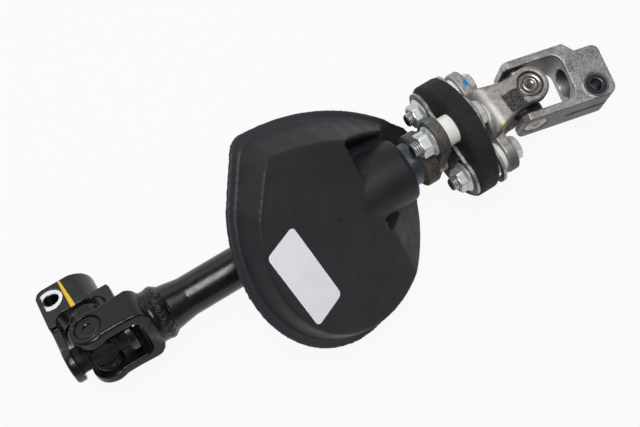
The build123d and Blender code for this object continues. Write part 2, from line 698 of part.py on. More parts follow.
def cover():
    """Moulded shell: flat rim, raised face, a pocket beside the boss, and a well for the coupling."""
    root = BOSS_END - BOSS_ROOT
    raised = raised_form(0) - pocket(0)
    rim = extrude(rim_plane() * rim_outline(0), COVER_FLANGE)
    form = rim + raised
    boss = turned(
        (root, 0),
        (root, BOSS_RADIUS),
        (BOSS_END - BOSS_LIP, BOSS_RADIUS),
        (BOSS_END, BOSS_RADIUS - BOSS_LIP),
        (BOSS_END, 0),
    )
    hollow = raised_form(COVER_WALL) - pocket(COVER_WALL)
    shell = form - hollow + boss - ahead_of(-rim_plane())
    well_room = form + extrude(rim_plane() * rim_outline(0), -WELL_DEPTH)
    shell += swept_space(COUPLING_CLEARANCE + COVER_WALL) & well_room
    shell -= swept_space(COUPLING_CLEARANCE)
    return shell - rod(BOSS_RADIUS - BOSS_WALL, root - BOSS_ROOT, BOSS_END)


def cover_bush():
    front = BOSS_END - LIP_SEAL_LENGTH
    return ring(BOSS_RADIUS - BOSS_WALL, TUBE_RADIUS + BUSH_CLEARANCE, front - BUSH_LENGTH, front)


def boss_lip_seal():
    front = BOSS_END
    outer = BOSS_RADIUS - BOSS_WALL
    return ring(outer, TUBE_RADIUS + LIP_SEAL_CLEARANCE, front - LIP_SEAL_LENGTH, front)


def blank_label():
    outline = RectangleRounded(LABEL_LENGTH, LABEL_WIDTH, LABEL_CORNER)
    place = Pos(LABEL_ALONG, LABEL_UP) * Rot(0, 0, LABEL_TURN)
    return extrude(face_plane() * place * outline, LABEL_THICKNESS)


# Places of the joint kit's pieces
def placed(location, group):
    """Moves a solid or a group of solids."""
    solids = [location * s for s in group.solids()]
    if len(solids) == 1:
        return solids[0]
    return as_group(solids)


LOWER = Pos(LOWER_JOINT, 0, 0) * Rot(-LOWER_FORK_ROLL, 0, 0)
FOLDED = LOWER * Rot(0, 0, GEAR_YOKE_FOLD)
UPPER = Pos(UPPER_JOINT, 0, 0)
BENT = UPPER * Rot(0, 0, -COLUMN_YOKE_BEND)
GEAR_END = FOLDED
COLUMN_END = BENT * Rot(180, 0, 0)
ACROSS_PIN = Rot(90, 0, 0)
BACKWARDS = Rot(0, 0, 180)

nodes = {
    "cover": cover(),
    "cover_bush": cover_bush(),
    "boss_lip_seal": boss_lip_seal(),
    "blank_label": blank_label(),
    "upper_tube": upper_tube(),
    "shaft_flange": shaft_flange(),
    "tube_mouth_cap": tube_mouth_cap(),
    "shaft_flange_bolts": on_shaft_bolts(lambda y, z: flange_bolt(PLATE_FACE, y, z)),
    "shaft_flange_nuts": on_shaft_bolts(lambda y, z: flange_nut(SHAFT_FLANGE_BACK, y, z)),
    "shaft_flange_spacers": on_shaft_bolts(shaft_spacer),
    "shaft_side_sleeves": on_shaft_bolts(disc_sleeve),
    "rubber_disc": rubber_disc(),
    "column_side_stop_plate": column_side_stop_plate(),
    "lower_tube": lower_tube(),
    "slide_sleeve": slide_sleeve(),
    "lower_fork": placed(LOWER, lower_fork()),
    "lower_cross": placed(FOLDED, cross()),
    "gear_yoke": placed(GEAR_END, clamp_yoke(round_backed_yoke())),
    "flange_yoke": placed(UPPER * BACKWARDS, flange_yoke()),
    "yoke_flange_bolts": on_yoke_bolts(lambda y, z: flange_bolt(YOKE_FLANGE_FRONT, y, z)),
    "yoke_flange_nuts": on_yoke_bolts(lambda y, z: flange_nut(-PLATE_FACE, y, z)),
    "yoke_flange_spacers": on_yoke_bolts(yoke_spacer),
    "yoke_side_sleeves": on_yoke_bolts(disc_sleeve),
    "shaft_side_stop_plate": shaft_side_stop_plate(),
    "upper_cross": placed(BENT, cross()),
    "column_yoke": placed(COLUMN_END, clamp_yoke(flat_sided_yoke())),
}
bearing_places = {
    "lower_fork": LOWER,
    "gear_yoke": FOLDED * ACROSS_PIN,
    "flange_yoke": UPPER,
    "column_yoke": BENT * ACROSS_PIN,
}
for yoke, place in bearing_places.items():
    nodes[yoke + "_cups"] = placed(place, both_pin_ends(cup))
    nodes[yoke + "_needles"] = placed(place, both_pin_ends(needle_ring))
    nodes[yoke + "_seals"] = placed(place, both_pin_ends(trunnion_seal))

COLUMN_BORE_CENTRE = COLUMN_END * Pos(CLAMP_END - CLAMP_LENGTH / 2, 0, 0)
HOME = Location(-COLUMN_BORE_CENTRE.position)
os.makedirs("parts", exist_ok=True)
for name, shape in nodes.items():
    export_step(placed(HOME, shape), f"parts/{name}.step")
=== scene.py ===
import json
from math import cos, pi, radians, sin, tau

import bpy
import numpy as np
from mathutils import Euler, Matrix, Vector

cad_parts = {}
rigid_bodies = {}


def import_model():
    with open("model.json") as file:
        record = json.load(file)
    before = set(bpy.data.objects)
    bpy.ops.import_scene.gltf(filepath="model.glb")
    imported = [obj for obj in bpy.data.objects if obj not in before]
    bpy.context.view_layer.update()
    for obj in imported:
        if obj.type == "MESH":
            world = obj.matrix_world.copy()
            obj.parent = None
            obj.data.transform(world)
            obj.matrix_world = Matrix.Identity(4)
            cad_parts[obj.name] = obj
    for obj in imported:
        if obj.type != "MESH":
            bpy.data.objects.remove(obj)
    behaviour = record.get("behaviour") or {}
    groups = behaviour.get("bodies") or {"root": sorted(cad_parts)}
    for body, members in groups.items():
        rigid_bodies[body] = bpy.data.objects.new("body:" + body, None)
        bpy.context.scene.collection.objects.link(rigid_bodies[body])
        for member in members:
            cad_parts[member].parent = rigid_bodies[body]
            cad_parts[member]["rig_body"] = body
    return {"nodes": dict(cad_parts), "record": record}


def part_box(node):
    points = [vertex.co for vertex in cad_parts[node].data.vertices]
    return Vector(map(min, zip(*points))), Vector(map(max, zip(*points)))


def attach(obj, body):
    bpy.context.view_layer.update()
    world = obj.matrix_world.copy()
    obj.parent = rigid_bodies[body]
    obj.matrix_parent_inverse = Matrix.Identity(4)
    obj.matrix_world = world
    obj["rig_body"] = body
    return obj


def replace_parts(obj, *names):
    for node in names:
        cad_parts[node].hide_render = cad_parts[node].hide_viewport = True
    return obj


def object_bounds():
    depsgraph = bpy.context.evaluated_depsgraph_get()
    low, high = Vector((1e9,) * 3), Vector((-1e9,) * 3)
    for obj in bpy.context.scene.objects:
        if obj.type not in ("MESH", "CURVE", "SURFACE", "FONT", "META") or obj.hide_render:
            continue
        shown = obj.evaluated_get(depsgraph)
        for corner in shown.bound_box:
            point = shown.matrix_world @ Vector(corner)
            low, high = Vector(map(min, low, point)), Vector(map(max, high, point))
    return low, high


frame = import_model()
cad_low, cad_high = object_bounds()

# Looks of a steering coupling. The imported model's frame is in metres, the sizes here in millimetres.
MM = 0.001


def centre_of(node):
    """Middle of a node's box, in metres."""
    low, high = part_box(node)
    return (low + high) / 2


# Angles repeated from the solids
LOWER_FORK_ROLL = radians(29.2)
COLUMN_YOKE_BEND = radians(12.0)

# Places in the model: local X runs along the shaft, and a joint's local Z along its pins
DISC_PLACE = Matrix.Translation(centre_of("rubber_disc"))
UPPER_PLACE = Matrix.Translation(centre_of("flange_yoke_cups"))
LOWER_ROLL = Matrix.Rotation(-LOWER_FORK_ROLL, 4, "X")
LOWER_PLACE = Matrix.Translation(centre_of("lower_fork_cups")) @ LOWER_ROLL
FOLDED_PLACE = LOWER_PLACE @ Matrix.Rotation(pi / 2, 4, "Z")
BENT_PLACE = UPPER_PLACE @ Matrix.Rotation(-COLUMN_YOKE_BEND, 4, "Z")
COLUMN_PLACE = BENT_PLACE @ Matrix.Rotation(pi, 4, "X")
PINS_ALONG_Y = Matrix.Rotation(pi / 2, 4, "X")

# Sizes repeated from the solids
BOLT_CIRCLE = 22.6
BOLT_RADIUS = 4.0
BOLT_LENGTH = 40.0
ACROSS_FLATS = 13.0
WASHER_RADIUS = 8.8
HEAD_HEIGHT = 5.3
NUT_HEIGHT = 8.0
SHAFT_FLANGE_BACK = -20.0
YOKE_FLANGE_FRONT = 22.0
PLATE_FACE = 7.8
CUP_RADIUS = 7.5
CUP_REACH = 18.4
CUP_LENGTH = 9.2

# Bolts and nuts: the yoke flange's nuts are lower than their solids
LOW_NUT_HEIGHT = 6.6
NUT_TURN = radians(12)
NUT_BORE_CLEARANCE = 0.02
COUNTERSINK_RADIUS = 5.0
COUNTERSINK_DEPTH = 0.6
WASHER_EDGE = 0.25
HEXAGON_CORNER_SHARE = 1.13
CHAMFER = 0.75
CHAMFER_MIDDLE = 0.38
CHAMFER_INSET = 0.1
DISH_RIM_DEPTH = 0.1
DISH_RIM_RADIUS = 4.6
DISH_DEPTH = 0.55
DISH_RADIUS = 4.2
SHAFT_THREAD_START = -14.0
YOKE_THREAD_START = -1.0
THREAD_PITCH = 1.25
THREAD_DEPTH = 0.68
THREAD_ROWS_A_TURN = 8
THREAD_CREST_GAIN = 1.25
THREAD_END_INSET = 0.15
THREAD_END_TAPER = 0.9

# Forged and moulded pieces
ARM_FLARE = 4.2
CLAMP_CORNER_RADIUS = 5.0
FORGED_VOXEL = 0.55
FLANGE_VOXEL = 0.5
COVER_VOXEL = 0.9
SMOOTH_FACTOR = 0.5

# Bearing cups
CUP_CLEARANCE = 0.02

# Steps round a ring of points, and the angles in degrees past which an edge stays sharp
HEXAGON_STEPS = 72
THREAD_STEPS = 32
CUP_STEPS = 64
SHARP_EDGE = 32.0
SHARP_CUP_EDGE = 50.0


# Meshes
def add_piece(name, surface, body, material):
    """A new mesh piece whose points are in the model's frame, on a body of the model."""
    mesh = bpy.data.meshes.new(name)
    mesh.from_pydata([tuple(vertex) for vertex in surface.vertices], [], surface.faces)
    mesh.update()
    piece = bpy.data.objects.new(name, mesh)
    bpy.context.scene.collection.objects.link(piece)
    mesh.materials.append(material)
    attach(piece, body)
    return piece


def hexagon_radius(angle):
    """Distance from a hexagon's centre to its edge."""
    within = angle % (pi / 3) - pi / 6
    return ACROSS_FLATS / 2 / cos(within)


class Surface:
    """Collects rings of points round local X and the faces between them."""

    def __init__(self):
        self.vertices = []
        self.faces = []

    def rings(self, rows, steps, place, closed=False):
        """Adds one turned body from rows of (station, radius or function of the angle)."""
        first = len(self.vertices)
        for station, radius in rows:
            for step in range(steps):
                angle = tau * step / steps
                reach = radius(angle) if callable(radius) else radius
                point = Vector((station, reach * cos(angle), reach * sin(angle))) * MM
                self.vertices.append(place @ point)
        pairs = len(rows) if closed else len(rows) - 1
        for row in range(pairs):
            here = first + row * steps
            there = first + (row + 1) % len(rows) * steps
            for step in range(steps):
                after = (step + 1) % steps
                self.faces.append((here + step, there + step, there + after, here + after))
        if not closed:
            self.faces.append(tuple(first + step for step in range(steps)))
            last = first + (len(rows) - 1) * steps
            self.faces.append(tuple(last + step for step in reversed(range(steps))))


def hex_rows(seat, height, direction):
    """Flange, hexagon and chamfered top of a head or nut, from its seat outwards."""
    top_radius = ACROSS_FLATS / 2 - CHAMFER_INSET

    def hexagon(angle):
        return min(hexagon_radius(angle), ACROSS_FLATS / 2 * HEXAGON_CORNER_SHARE)

    def hexagon_foot(angle):
        return hexagon(angle) + WASHER_EDGE

    def under_top(angle):
        return min(hexagon_radius(angle), top_radius + CHAMFER)

    profile = [
        (0.0, WASHER_RADIUS - WASHER_EDGE),
        (0.2, WASHER_RADIUS),
        (0.9, WASHER_RADIUS),
        (1.15, WASHER_RADIUS - WASHER_EDGE),
        (2.1, hexagon_foot),
        (2.35, hexagon),
        (height - CHAMFER, hexagon),
        (height - CHAMFER_MIDDLE, under_top),
        (height, top_radius),
    ]
    return [(seat + direction * above, radius) for above, radius in profile]


def thread_rows(start, end, direction):
    """A thread's rows of points: each is one eighth of a turn further along."""
    rows = []
    step = THREAD_PITCH / THREAD_ROWS_A_TURN
    count = int(abs(end - start) / step)
    root_radius = BOLT_RADIUS - THREAD_DEPTH
    for index in range(count + 1):
        station = start + direction * index * step

        def radius(angle, turns=index / THREAD_ROWS_A_TURN, left=(count - index) * step):
            phase = (turns + angle / tau) % 1.0
            wave = 1 - abs(2 * phase - 1)
            full = BOLT_RADIUS - THREAD_DEPTH * (1 - min(1.0, wave * THREAD_CREST_GAIN))
            return min(full, root_radius - THREAD_END_INSET + left * THREAD_END_TAPER)

        rows.append((station, radius))
    return rows


def bolt_group(name, node, body, centres, seat, thread_start, material):
    """The flanged bolts of one flange, with their threads."""
    surface = Surface()
    top = seat + HEAD_HEIGHT
    end = seat - BOLT_LENGTH
    for y, z in centres:
        place = DISC_PLACE @ Matrix.Translation(Vector((0, y, z)) * MM)
        head = hex_rows(seat, HEAD_HEIGHT, 1)
        head += [(top - DISH_RIM_DEPTH, DISH_RIM_RADIUS), (top - DISH_DEPTH, DISH_RADIUS)]
        surface.rings(head, HEXAGON_STEPS, place)
        surface.rings([(seat, BOLT_RADIUS), (thread_start, BOLT_RADIUS)], THREAD_STEPS, place)
        surface.rings(thread_rows(thread_start, end, -1), THREAD_STEPS, place)
    piece = add_piece(name, surface, body, material)
    crisp(piece)
    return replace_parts(piece, node)


def nut_group(name, node, body, centres, seat, height, material):
    """The flanged nuts of one flange, with countersunk bores."""
    surface = Surface()
    top = seat - height
    bore = BOLT_RADIUS + NUT_BORE_CLEARANCE
    for y, z in centres:
        place = DISC_PLACE @ Matrix.Translation(Vector((0, y, z)) * MM)
        turned = place @ Matrix.Rotation(NUT_TURN, 4, "X")
        rows = hex_rows(seat, height, -1)
        rows += [(top, COUNTERSINK_RADIUS), (top + COUNTERSINK_DEPTH, bore), (seat, bore)]
        surface.rings(rows, HEXAGON_STEPS, turned, closed=True)
    piece = add_piece(name, surface, body, material)
    crisp(piece)
    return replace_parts(piece, node)


def crisp(piece, angle=SHARP_EDGE):
    """Smooth shading that stays sharp at edges."""
    mesh = piece.data
    mesh.polygons.foreach_set("use_smooth", [True] * len(mesh.polygons))
    mesh.set_sharp_from_angle(angle=radians(angle))


def cup_rows():
    """A bearing cup's outside, with the pressed rings in its closed face."""
    face = CUP_REACH
    side = CUP_RADIUS - CUP_CLEARANCE
    mouth_edge = 0.35
    return [
        (face - CUP_LENGTH, CUP_RADIUS - mouth_edge),
        (face - CUP_LENGTH + mouth_edge, side),
        (face - 0.75, side),
        (face - 0.25, CUP_RADIUS - 0.3),
        (face, CUP_RADIUS - 0.95),
        (face, 5.5),
        (face - 0.22, 5.2),
        (face - 0.25, 4.2),
        (face - 0.05, 3.85),
        (face - 0.02, 3.2),
        (face - 0.3, 2.85),
        (face - 0.75, 2.45),
        (face - 0.85, 0.8),
        (face - 0.85, 0.02),
    ]


def cup_group(node, body, place, material):
    """Both bearing cups of one yoke."""
    surface = Surface()
    for turn in (-pi / 2, pi / 2):
        surface.rings(cup_rows(), CUP_STEPS, place @ Matrix.Rotation(turn, 4, "Y"))
    piece = add_piece(node + "_dressed", surface, body, material)
    crisp(piece, SHARP_CUP_EDGE)
    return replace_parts(piece, node)


def softened(node, voxel, rounds, material, reshape=None):
    """A forged or moulded piece: the solid remeshed finely and smoothed for some rounds."""
    source = frame["nodes"][node]
    work = bpy.data.objects.new(node + "_work", source.data.copy())
    bpy.context.scene.collection.objects.link(work)
    remesh = work.modifiers.new("remesh", "REMESH")
    remesh.mode = "VOXEL"
    remesh.voxel_size = voxel * MM
    smooth = work.modifiers.new("smooth", "SMOOTH")
    smooth.factor = SMOOTH_FACTOR
    smooth.iterations = rounds
    graph = bpy.context.evaluated_depsgraph_get()
    mesh = bpy.data.meshes.new_from_object(work.evaluated_get(graph))
    bpy.data.objects.remove(work)
    if reshape:
        points = np.zeros(len(mesh.vertices) * 3)
        mesh.vertices.foreach_get("co", points)
        moved = reshape(points.reshape(-1, 3))
        mesh.vertices.foreach_set("co", moved.ravel())
        mesh.update()
    mesh.name = node + "_dressed"
    mesh.polygons.foreach_set("use_smooth", [True] * len(mesh.polygons))
    mesh.materials.clear()
    mesh.materials.append(material)
    piece = bpy.data.objects.new(node + "_dressed", mesh)
    bpy.context.scene.collection.objects.link(piece)
    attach(piece, source["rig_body"])
    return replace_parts(piece, node)


# Materials
MOTTLE_LOW = 0.3
MOTTLE_HIGH = 0.7
FACING_START = 0.15
FACING_FULL = 0.85
LARGE_PATCH_SHARE = 0.4

# Colours of paints, stains and dirt, and of painted light and shade
YELLOW_PAINT = (0.78, 0.50, 0.03)
WHITE_PAINT = (0.80, 0.82, 0.86)
GREEN_PAINT = (0.01, 0.33, 0.24)
BLUE_PAINT = (0.02, 0.28, 0.62)
OLIVE = (0.16, 0.15, 0.03)
RUST_BROWN = (0.07, 0.045, 0.03)
THREAD_ROOT_DARK = (0.03, 0.03, 0.03)
PLASTIC_DUST = (0.35, 0.34, 0.32)
RUBBER_DUST = (0.3, 0.28, 0.24)
LIT_RIM_PLASTIC = (0.034, 0.033, 0.041)
HOLE_RIM_BRIGHT = (0.85, 0.85, 0.84)
HOLE_SHADE_BLACK = (0.008, 0.008, 0.008)
COLLAR_BLACK = (0.075, 0.075, 0.095)
STRAW = (0.21, 0.145, 0.085)

# Marking paint on the gear yoke's clamp face, in the folded joint's own frame
MARKED_FACE = 13.0
YELLOW_START = 47.5
YELLOW_END = 21.9
YELLOW_SIDE = 2.0
YELLOW_SLANT = 0.0586
YELLOW_TAPER = 0.031
YELLOW_HALF_WIDTH = 1.65
WHITE_RING_CENTRE = (37.0, 11.8)
WHITE_RING_INSIDE = 5.0
WHITE_RING_OUTSIDE = 7.7
WHITE_RING_GAP = 4.6

# The thread grooves are darker inside this radius of a bolt's thread
THREAD_ROOT_RADIUS = 3.55

# The assembly stripe on the near shaft bolt, in the coupling's frame
STRIPE_SECTOR = (radians(45), radians(54))
STRIPE_REACH = (-31.5, -17.0)
STRIPE_RADIUS = 12.0

# Stains, dents and holes: points of the coupling's frame
OLIVE_STAIN = (21.0, -14.0, 17.0)
BROWN_STAIN = (22.0, 12.0, 13.0)
BLUE_MARK = (20.8, 21.5, 11.0)
PUNCH_MARKS = ((-218.6, 13.8, 14.0), (-234.4, 12.3, 14.9))
DEEP_DENT = (-84.9, -11.1, 24.8)
SHALLOW_DENT = (-115.9, 4.0, 55.4)
PLATE_HOLE = (-8.8, -16.4, 6.2)
PLATE_HOLE_RADIUS = 3.2

# The dark mottled patch, in the upper joint's frame
PATCH_ALONG = (-17.5, -6.5)
PATCH_ACROSS = (-8.0, 4.0)
PATCH_UP = (8.0, 24.0)

# The bolt hole of the column yoke, in that yoke's own frame
CLAMP_HOLE = (37.4, 11.0)
COLLAR_RADIUS = 6.8

# The cover's rim band, painted lighter as painted light, in the coupling's frame, with its width along
# the normal
RIM_POINT = (-122.5, -62.2, -10.0)
RIM_NORMAL = (0.495, -0.512, 0.702)
RIM_BAND = (-0.7, 1.2)

# Stations of the tube's heat tint from the coupling, and of the fork's weld from the lower joint
TINT_START = -44.0
TINT_END = -14.0
WELD_START = 33.0
WELD_END = 40.0


def coupling_point(point):
    """A point of the coupling's frame, in millimetres, as a point of the model's frame."""
    return DISC_PLACE @ (Vector(point) * MM)


class Shader:
    """Builds one procedural material on the principled shader, in the model's frame."""

    def __init__(self, name, colour, roughness, metallic=0.0):
        self.material = bpy.data.materials.new(name)
        self.material.use_nodes = True
        self.nodes = self.material.node_tree.nodes
        self.links = self.material.node_tree.links
        self.bsdf = self.nodes["Principled BSDF"]
        self.bsdf.inputs["Base Color"].default_value = (*colour, 1)
        self.bsdf.inputs["Roughness"].default_value = roughness
        self.bsdf.inputs["Metallic"].default_value = metallic
        self.coords = self.nodes.new("ShaderNodeTexCoord").outputs["Object"]

    def noise(self, scale, detail=3.0, roughness=0.55):
        """Noise whose scale is in features per millimetre."""
        node = self.nodes.new("ShaderNodeTexNoise")
        node.inputs["Scale"].default_value = scale / MM
        node.inputs["Detail"].default_value = detail
        node.inputs["Roughness"].default_value = roughness
        self.links.new(self.coords, node.inputs["Vector"])
        return node.outputs["Fac"]

    def mottled(self, scale, detail, low, high):
        """Noise spread between two colours or two greys."""
        return self.ramp(self.noise(scale, detail), [(MOTTLE_LOW, low), (MOTTLE_HIGH, high)])

    def specks(self, scale, size):
        """Small round dots: 1 inside a dot, 0 outside."""
        node = self.nodes.new("ShaderNodeTexVoronoi")
        node.inputs["Scale"].default_value = scale / MM
        self.links.new(self.coords, node.inputs["Vector"])
        return self.ramp(node.outputs["Distance"], [(size, 1.0), (size * 1.6, 0.0)])

    def ramp(self, value, stops):
        """A colour or grey ramp from (position, colour or grey) stops."""
        node = self.nodes.new("ShaderNodeValToRGB")
        self.links.new(value, node.inputs["Fac"])
        elements = node.color_ramp.elements
        while len(elements) < len(stops):
            elements.new(0.5)
        for element, (position, colour) in zip(elements, stops):
            element.position = position
            if not hasattr(colour, "__len__"):
                colour = (colour, colour, colour)
            element.color = (*colour, 1)
        return node.outputs["Color"]

    def mix(self, share, first, second):
        """Mixes two colours, each an output or a triple, by the node's colour sockets."""
        node = self.nodes.new("ShaderNodeMix")
        node.data_type = "RGBA"
        first_colour, second_colour = node.inputs[6], node.inputs[7]
        self.feed(node.inputs["Factor"], share)
        self.feed(first_colour, first)
        self.feed(second_colour, second)
        return node.outputs[2]

    def feed(self, socket, value):
        """Links an output to a socket, or sets the socket to a number or a colour."""
        if isinstance(value, bpy.types.NodeSocket):
            self.links.new(value, socket)
        elif hasattr(value, "__len__"):
            needs_alpha = len(value) == 3 and len(socket.default_value) == 4
            socket.default_value = (*value, 1) if needs_alpha else value
        else:
            socket.default_value = value

    def maths(self, operation, first, second=0.0):
        """One step of arithmetic on outputs or numbers."""
        node = self.nodes.new("ShaderNodeMath")
        node.operation = operation
        self.feed(node.inputs[0], first)
        self.feed(node.inputs[1], second)
        return node.outputs[0]

    def away_from(self, point):
        """Distance in millimetres from a point of the model's frame."""
        node = self.nodes.new("ShaderNodeVectorMath")
        node.operation = "DISTANCE"
        self.links.new(self.coords, node.inputs[0])
        node.inputs[1].default_value = point
        return self.maths("MULTIPLY", node.outputs["Value"], 1 / MM)

    def along(self, point, direction):
        """Signed distance in millimetres from a point, along a direction."""
        shift = self.nodes.new("ShaderNodeVectorMath")
        shift.operation = "SUBTRACT"
        self.links.new(self.coords, shift.inputs[0])
        shift.inputs[1].default_value = point
        dot = self.nodes.new("ShaderNodeVectorMath")
        dot.operation = "DOT_PRODUCT"
        self.links.new(shift.outputs[0], dot.inputs[0])
        dot.inputs[1].default_value = Vector(direction) / MM
        return dot.outputs["Value"]

    def local(self, place):
        """The three coordinates, in millimetres, of a place's own frame."""
        turn = place.to_3x3()
        axes = (Vector((1, 0, 0)), Vector((0, 1, 0)), Vector((0, 0, 1)))
        return [self.along(place.translation, turn @ axis) for axis in axes]

    def facing(self, direction):
        """1 on surfaces that face this way, fading to 0 at right angles to it."""
        dot = self.nodes.new("ShaderNodeVectorMath")
        dot.operation = "DOT_PRODUCT"
        self.links.new(self.nodes.new("ShaderNodeTexCoord").outputs["Normal"], dot.inputs[0])
        dot.inputs[1].default_value = Vector(direction).normalized()
        return self.share(dot.outputs["Value"], FACING_START, FACING_FULL)

    def share(self, value, start, end):
        """0 where the value is at the start, 1 at the end, and even between them."""
        node = self.nodes.new("ShaderNodeMapRange")
        self.links.new(value, node.inputs["Value"])
        node.inputs["From Min"].default_value = start
        node.inputs["From Max"].default_value = end
        return node.outputs[0]

    def radius(self, first, second):
        """Length of the vector with these two coordinates."""
        squares = [self.maths("MULTIPLY", value, value) for value in (first, second)]
        return self.maths("SQRT", self.maths("ADD", *squares))

    def from_axis(self, first, second, centre):
        """Distance of the point with these two coordinates from a centre."""
        away = [self.maths("SUBTRACT", value, middle) for value, middle in zip((first, second), centre)]
        return self.radius(*away)

    def below(self, value, limit, soft):
        """1 where the value is under the limit, with a soft edge."""
        return self.share(value, limit + soft, limit - soft)

    def both(self, *masks):
        """The product of several masks."""
        total = masks[0]
        for mask in masks[1:]:
            total = self.maths("MULTIPLY", total, mask)
        return total

    def cover_with(self, mask, paint, roughness=None):
        """Lays a paint over the colour, and over the roughness, where the mask is 1."""
        self.colour(self.mix(mask, self.current("Base Color"), paint))
        if roughness is not None:
            grey = (roughness, roughness, roughness)
            self.rough(self.mix(mask, self.current("Roughness"), grey))

    def current(self, socket_name):
        """What feeds a socket of the shader now."""
        socket = self.bsdf.inputs[socket_name]
        if socket.links:
            return socket.links[0].from_socket
        value = socket.default_value
        return tuple(value)[:3] if hasattr(value, "__len__") else (value, value, value)

    def band(self, value, low, high, soft):
        """1 between low and high, with soft edges, in the value's units."""
        rise = self.share(value, low - soft, low + soft)
        fall = self.share(value, high + soft, high - soft)
        return self.both(rise, fall)

    def bump(self, height, depth):
        """Relief of the given depth in millimetres, on top of any relief so far."""
        node = self.nodes.new("ShaderNodeBump")
        node.inputs["Strength"].default_value = 1.0
        node.inputs["Distance"].default_value = depth * MM
        self.links.new(height, node.inputs["Height"])
        previous = self.bsdf.inputs["Normal"].links
        if previous:
            self.links.new(previous[0].from_socket, node.inputs["Normal"])
        self.links.new(node.outputs["Normal"], self.bsdf.inputs["Normal"])

    def colour(self, value):
        self.feed(self.bsdf.inputs["Base Color"], value)

    def rough(self, value):
        self.feed(self.bsdf.inputs["Roughness"], value)

    def specular(self, level):
        self.bsdf.inputs["Specular IOR Level"].default_value = level


def black_paint(name="black_paint", gloss=0.42):
    """Thick semi-gloss black paint over a forging, lumpy over the weld at the fork's neck."""
    shader = Shader(name, (0.008, 0.008, 0.008), roughness=0.26)
    shader.specular(gloss)
    shader.colour(shader.mottled(0.12, 4, low=(0.004, 0.004, 0.0045), high=(0.009, 0.009, 0.009)))
    shader.rough(shader.mottled(0.3, 5, low=0.20, high=0.34))
    shader.bump(shader.noise(0.45, 2), depth=0.03)
    from_joint = shader.along(LOWER_PLACE.translation, (1, 0, 0))
    weld = shader.band(from_joint, WELD_START, WELD_END, soft=1.2)
    shader.bump(shader.both(shader.noise(0.38, 3), weld), depth=1.6)
    shader.bump(shader.noise(3.0, 3), depth=0.004)
    return shader


def add_yellow_stroke(shader, x, y, on_face, wobble):
    """A tapering stroke of yellow paint along the clamp face."""
    along_stroke = shader.maths("SUBTRACT", x, YELLOW_END)
    slant = shader.maths("MULTIPLY", along_stroke, YELLOW_SLANT)
    middle = shader.maths("ADD", slant, YELLOW_SIDE)
    off_middle = shader.maths("ABSOLUTE", shader.maths("SUBTRACT", y, middle))
    widening = shader.maths("MULTIPLY", along_stroke, YELLOW_TAPER)
    ragged = shader.maths("MULTIPLY", wobble, 0.4)
    spread = shader.maths("ADD", off_middle, shader.maths("ADD", widening, ragged))
    length = shader.band(x, YELLOW_END, YELLOW_START, soft=0.5)
    stroke = shader.both(shader.below(spread, YELLOW_HALF_WIDTH, soft=0.12), length, on_face)
    shader.cover_with(stroke, YELLOW_PAINT, roughness=0.45)


def add_white_ring(shader, x, y, on_face, wobble):
    """An open ring of white paint round the bolt hole of the clamp face."""
    from_hole = shader.from_axis(x, y, WHITE_RING_CENTRE)
    uneven = shader.maths("ADD", from_hole, wobble)
    ring = shader.band(uneven, WHITE_RING_INSIDE, WHITE_RING_OUTSIDE, soft=0.25)
    gap_start = WHITE_RING_CENTRE[1] + WHITE_RING_GAP
    painted = shader.below(shader.maths("ADD", y, wobble), gap_start, soft=0.4)
    shader.cover_with(shader.both(ring, painted, on_face), WHITE_PAINT, roughness=0.4)


def painted_gear_yoke():
    """Black paint with a yellow stroke and a white ring of marking paint on the clamp face."""
    shader = black_paint("marked_black_paint", gloss=0.45)
    x, y, z = shader.local(FOLDED_PLACE)
    on_face = shader.band(z, MARKED_FACE - 1.0, MARKED_FACE + 1.0, soft=0.2)
    wobble = shader.maths("MULTIPLY", shader.noise(0.35, 3), 1.1)
    add_yellow_stroke(shader, x, y, on_face, wobble)
    add_white_ring(shader, x, y, on_face, wobble)
    return shader


def add_assembly_stripe(shader):
    """The green-blue stripe across the near shaft bolt, its nut and the flange."""
    x, y, z = shader.local(DISC_PLACE)
    angle = shader.maths("ARCTAN2", shader.maths("SUBTRACT", z, BOLT_CIRCLE), y)
    sector = shader.band(angle, *STRIPE_SECTOR, soft=radians(2))
    reach = shader.band(x, *STRIPE_REACH, soft=0.3)
    near = shader.below(shader.from_axis(y, z, (0.0, BOLT_CIRCLE)), STRIPE_RADIUS, soft=0.3)
    patchy = shader.ramp(shader.noise(0.45, 3), [(0.40, 0.0), (0.46, 1.0)])
    shader.cover_with(shader.both(sector, reach, near, patchy), GREEN_PAINT, roughness=0.45)


def plate_steel():
    """Pressed plate: light steel along its sheared edge, with painted shade on its dull faces along ±X.
    """
    shader = forging(
        "plate_steel",
        dark=(0.20, 0.20, 0.19),
        light=(0.55, 0.55, 0.54),
        roughness=0.36,
        depth=0.03,
        metallic=0.7,
        grain=0.8,
    )
    # Painted shade: the plate's faces along ±X are darkened, as if in shade.
    faces = shader.maths("ADD", shader.facing((1, 0, 0)), shader.facing((-1, 0, 0)))
    shader.cover_with(shader.maths("MULTIPLY", faces, 0.9), (0.06, 0.058, 0.052), roughness=0.5)
    add_plate_hole(shader)
    return shader


def darken_thread_roots(shader):
    """Darker colour in the thread grooves of the four coupling bolts."""
    _, y, z = shader.local(DISC_PLACE)
    for axis in ((BOLT_CIRCLE, 0), (-BOLT_CIRCLE, 0), (0, BOLT_CIRCLE), (0, -BOLT_CIRCLE)):
        groove = shader.below(shader.from_axis(y, z, axis), THREAD_ROOT_RADIUS, soft=0.1)
        shader.cover_with(groove, THREAD_ROOT_DARK, roughness=0.6)


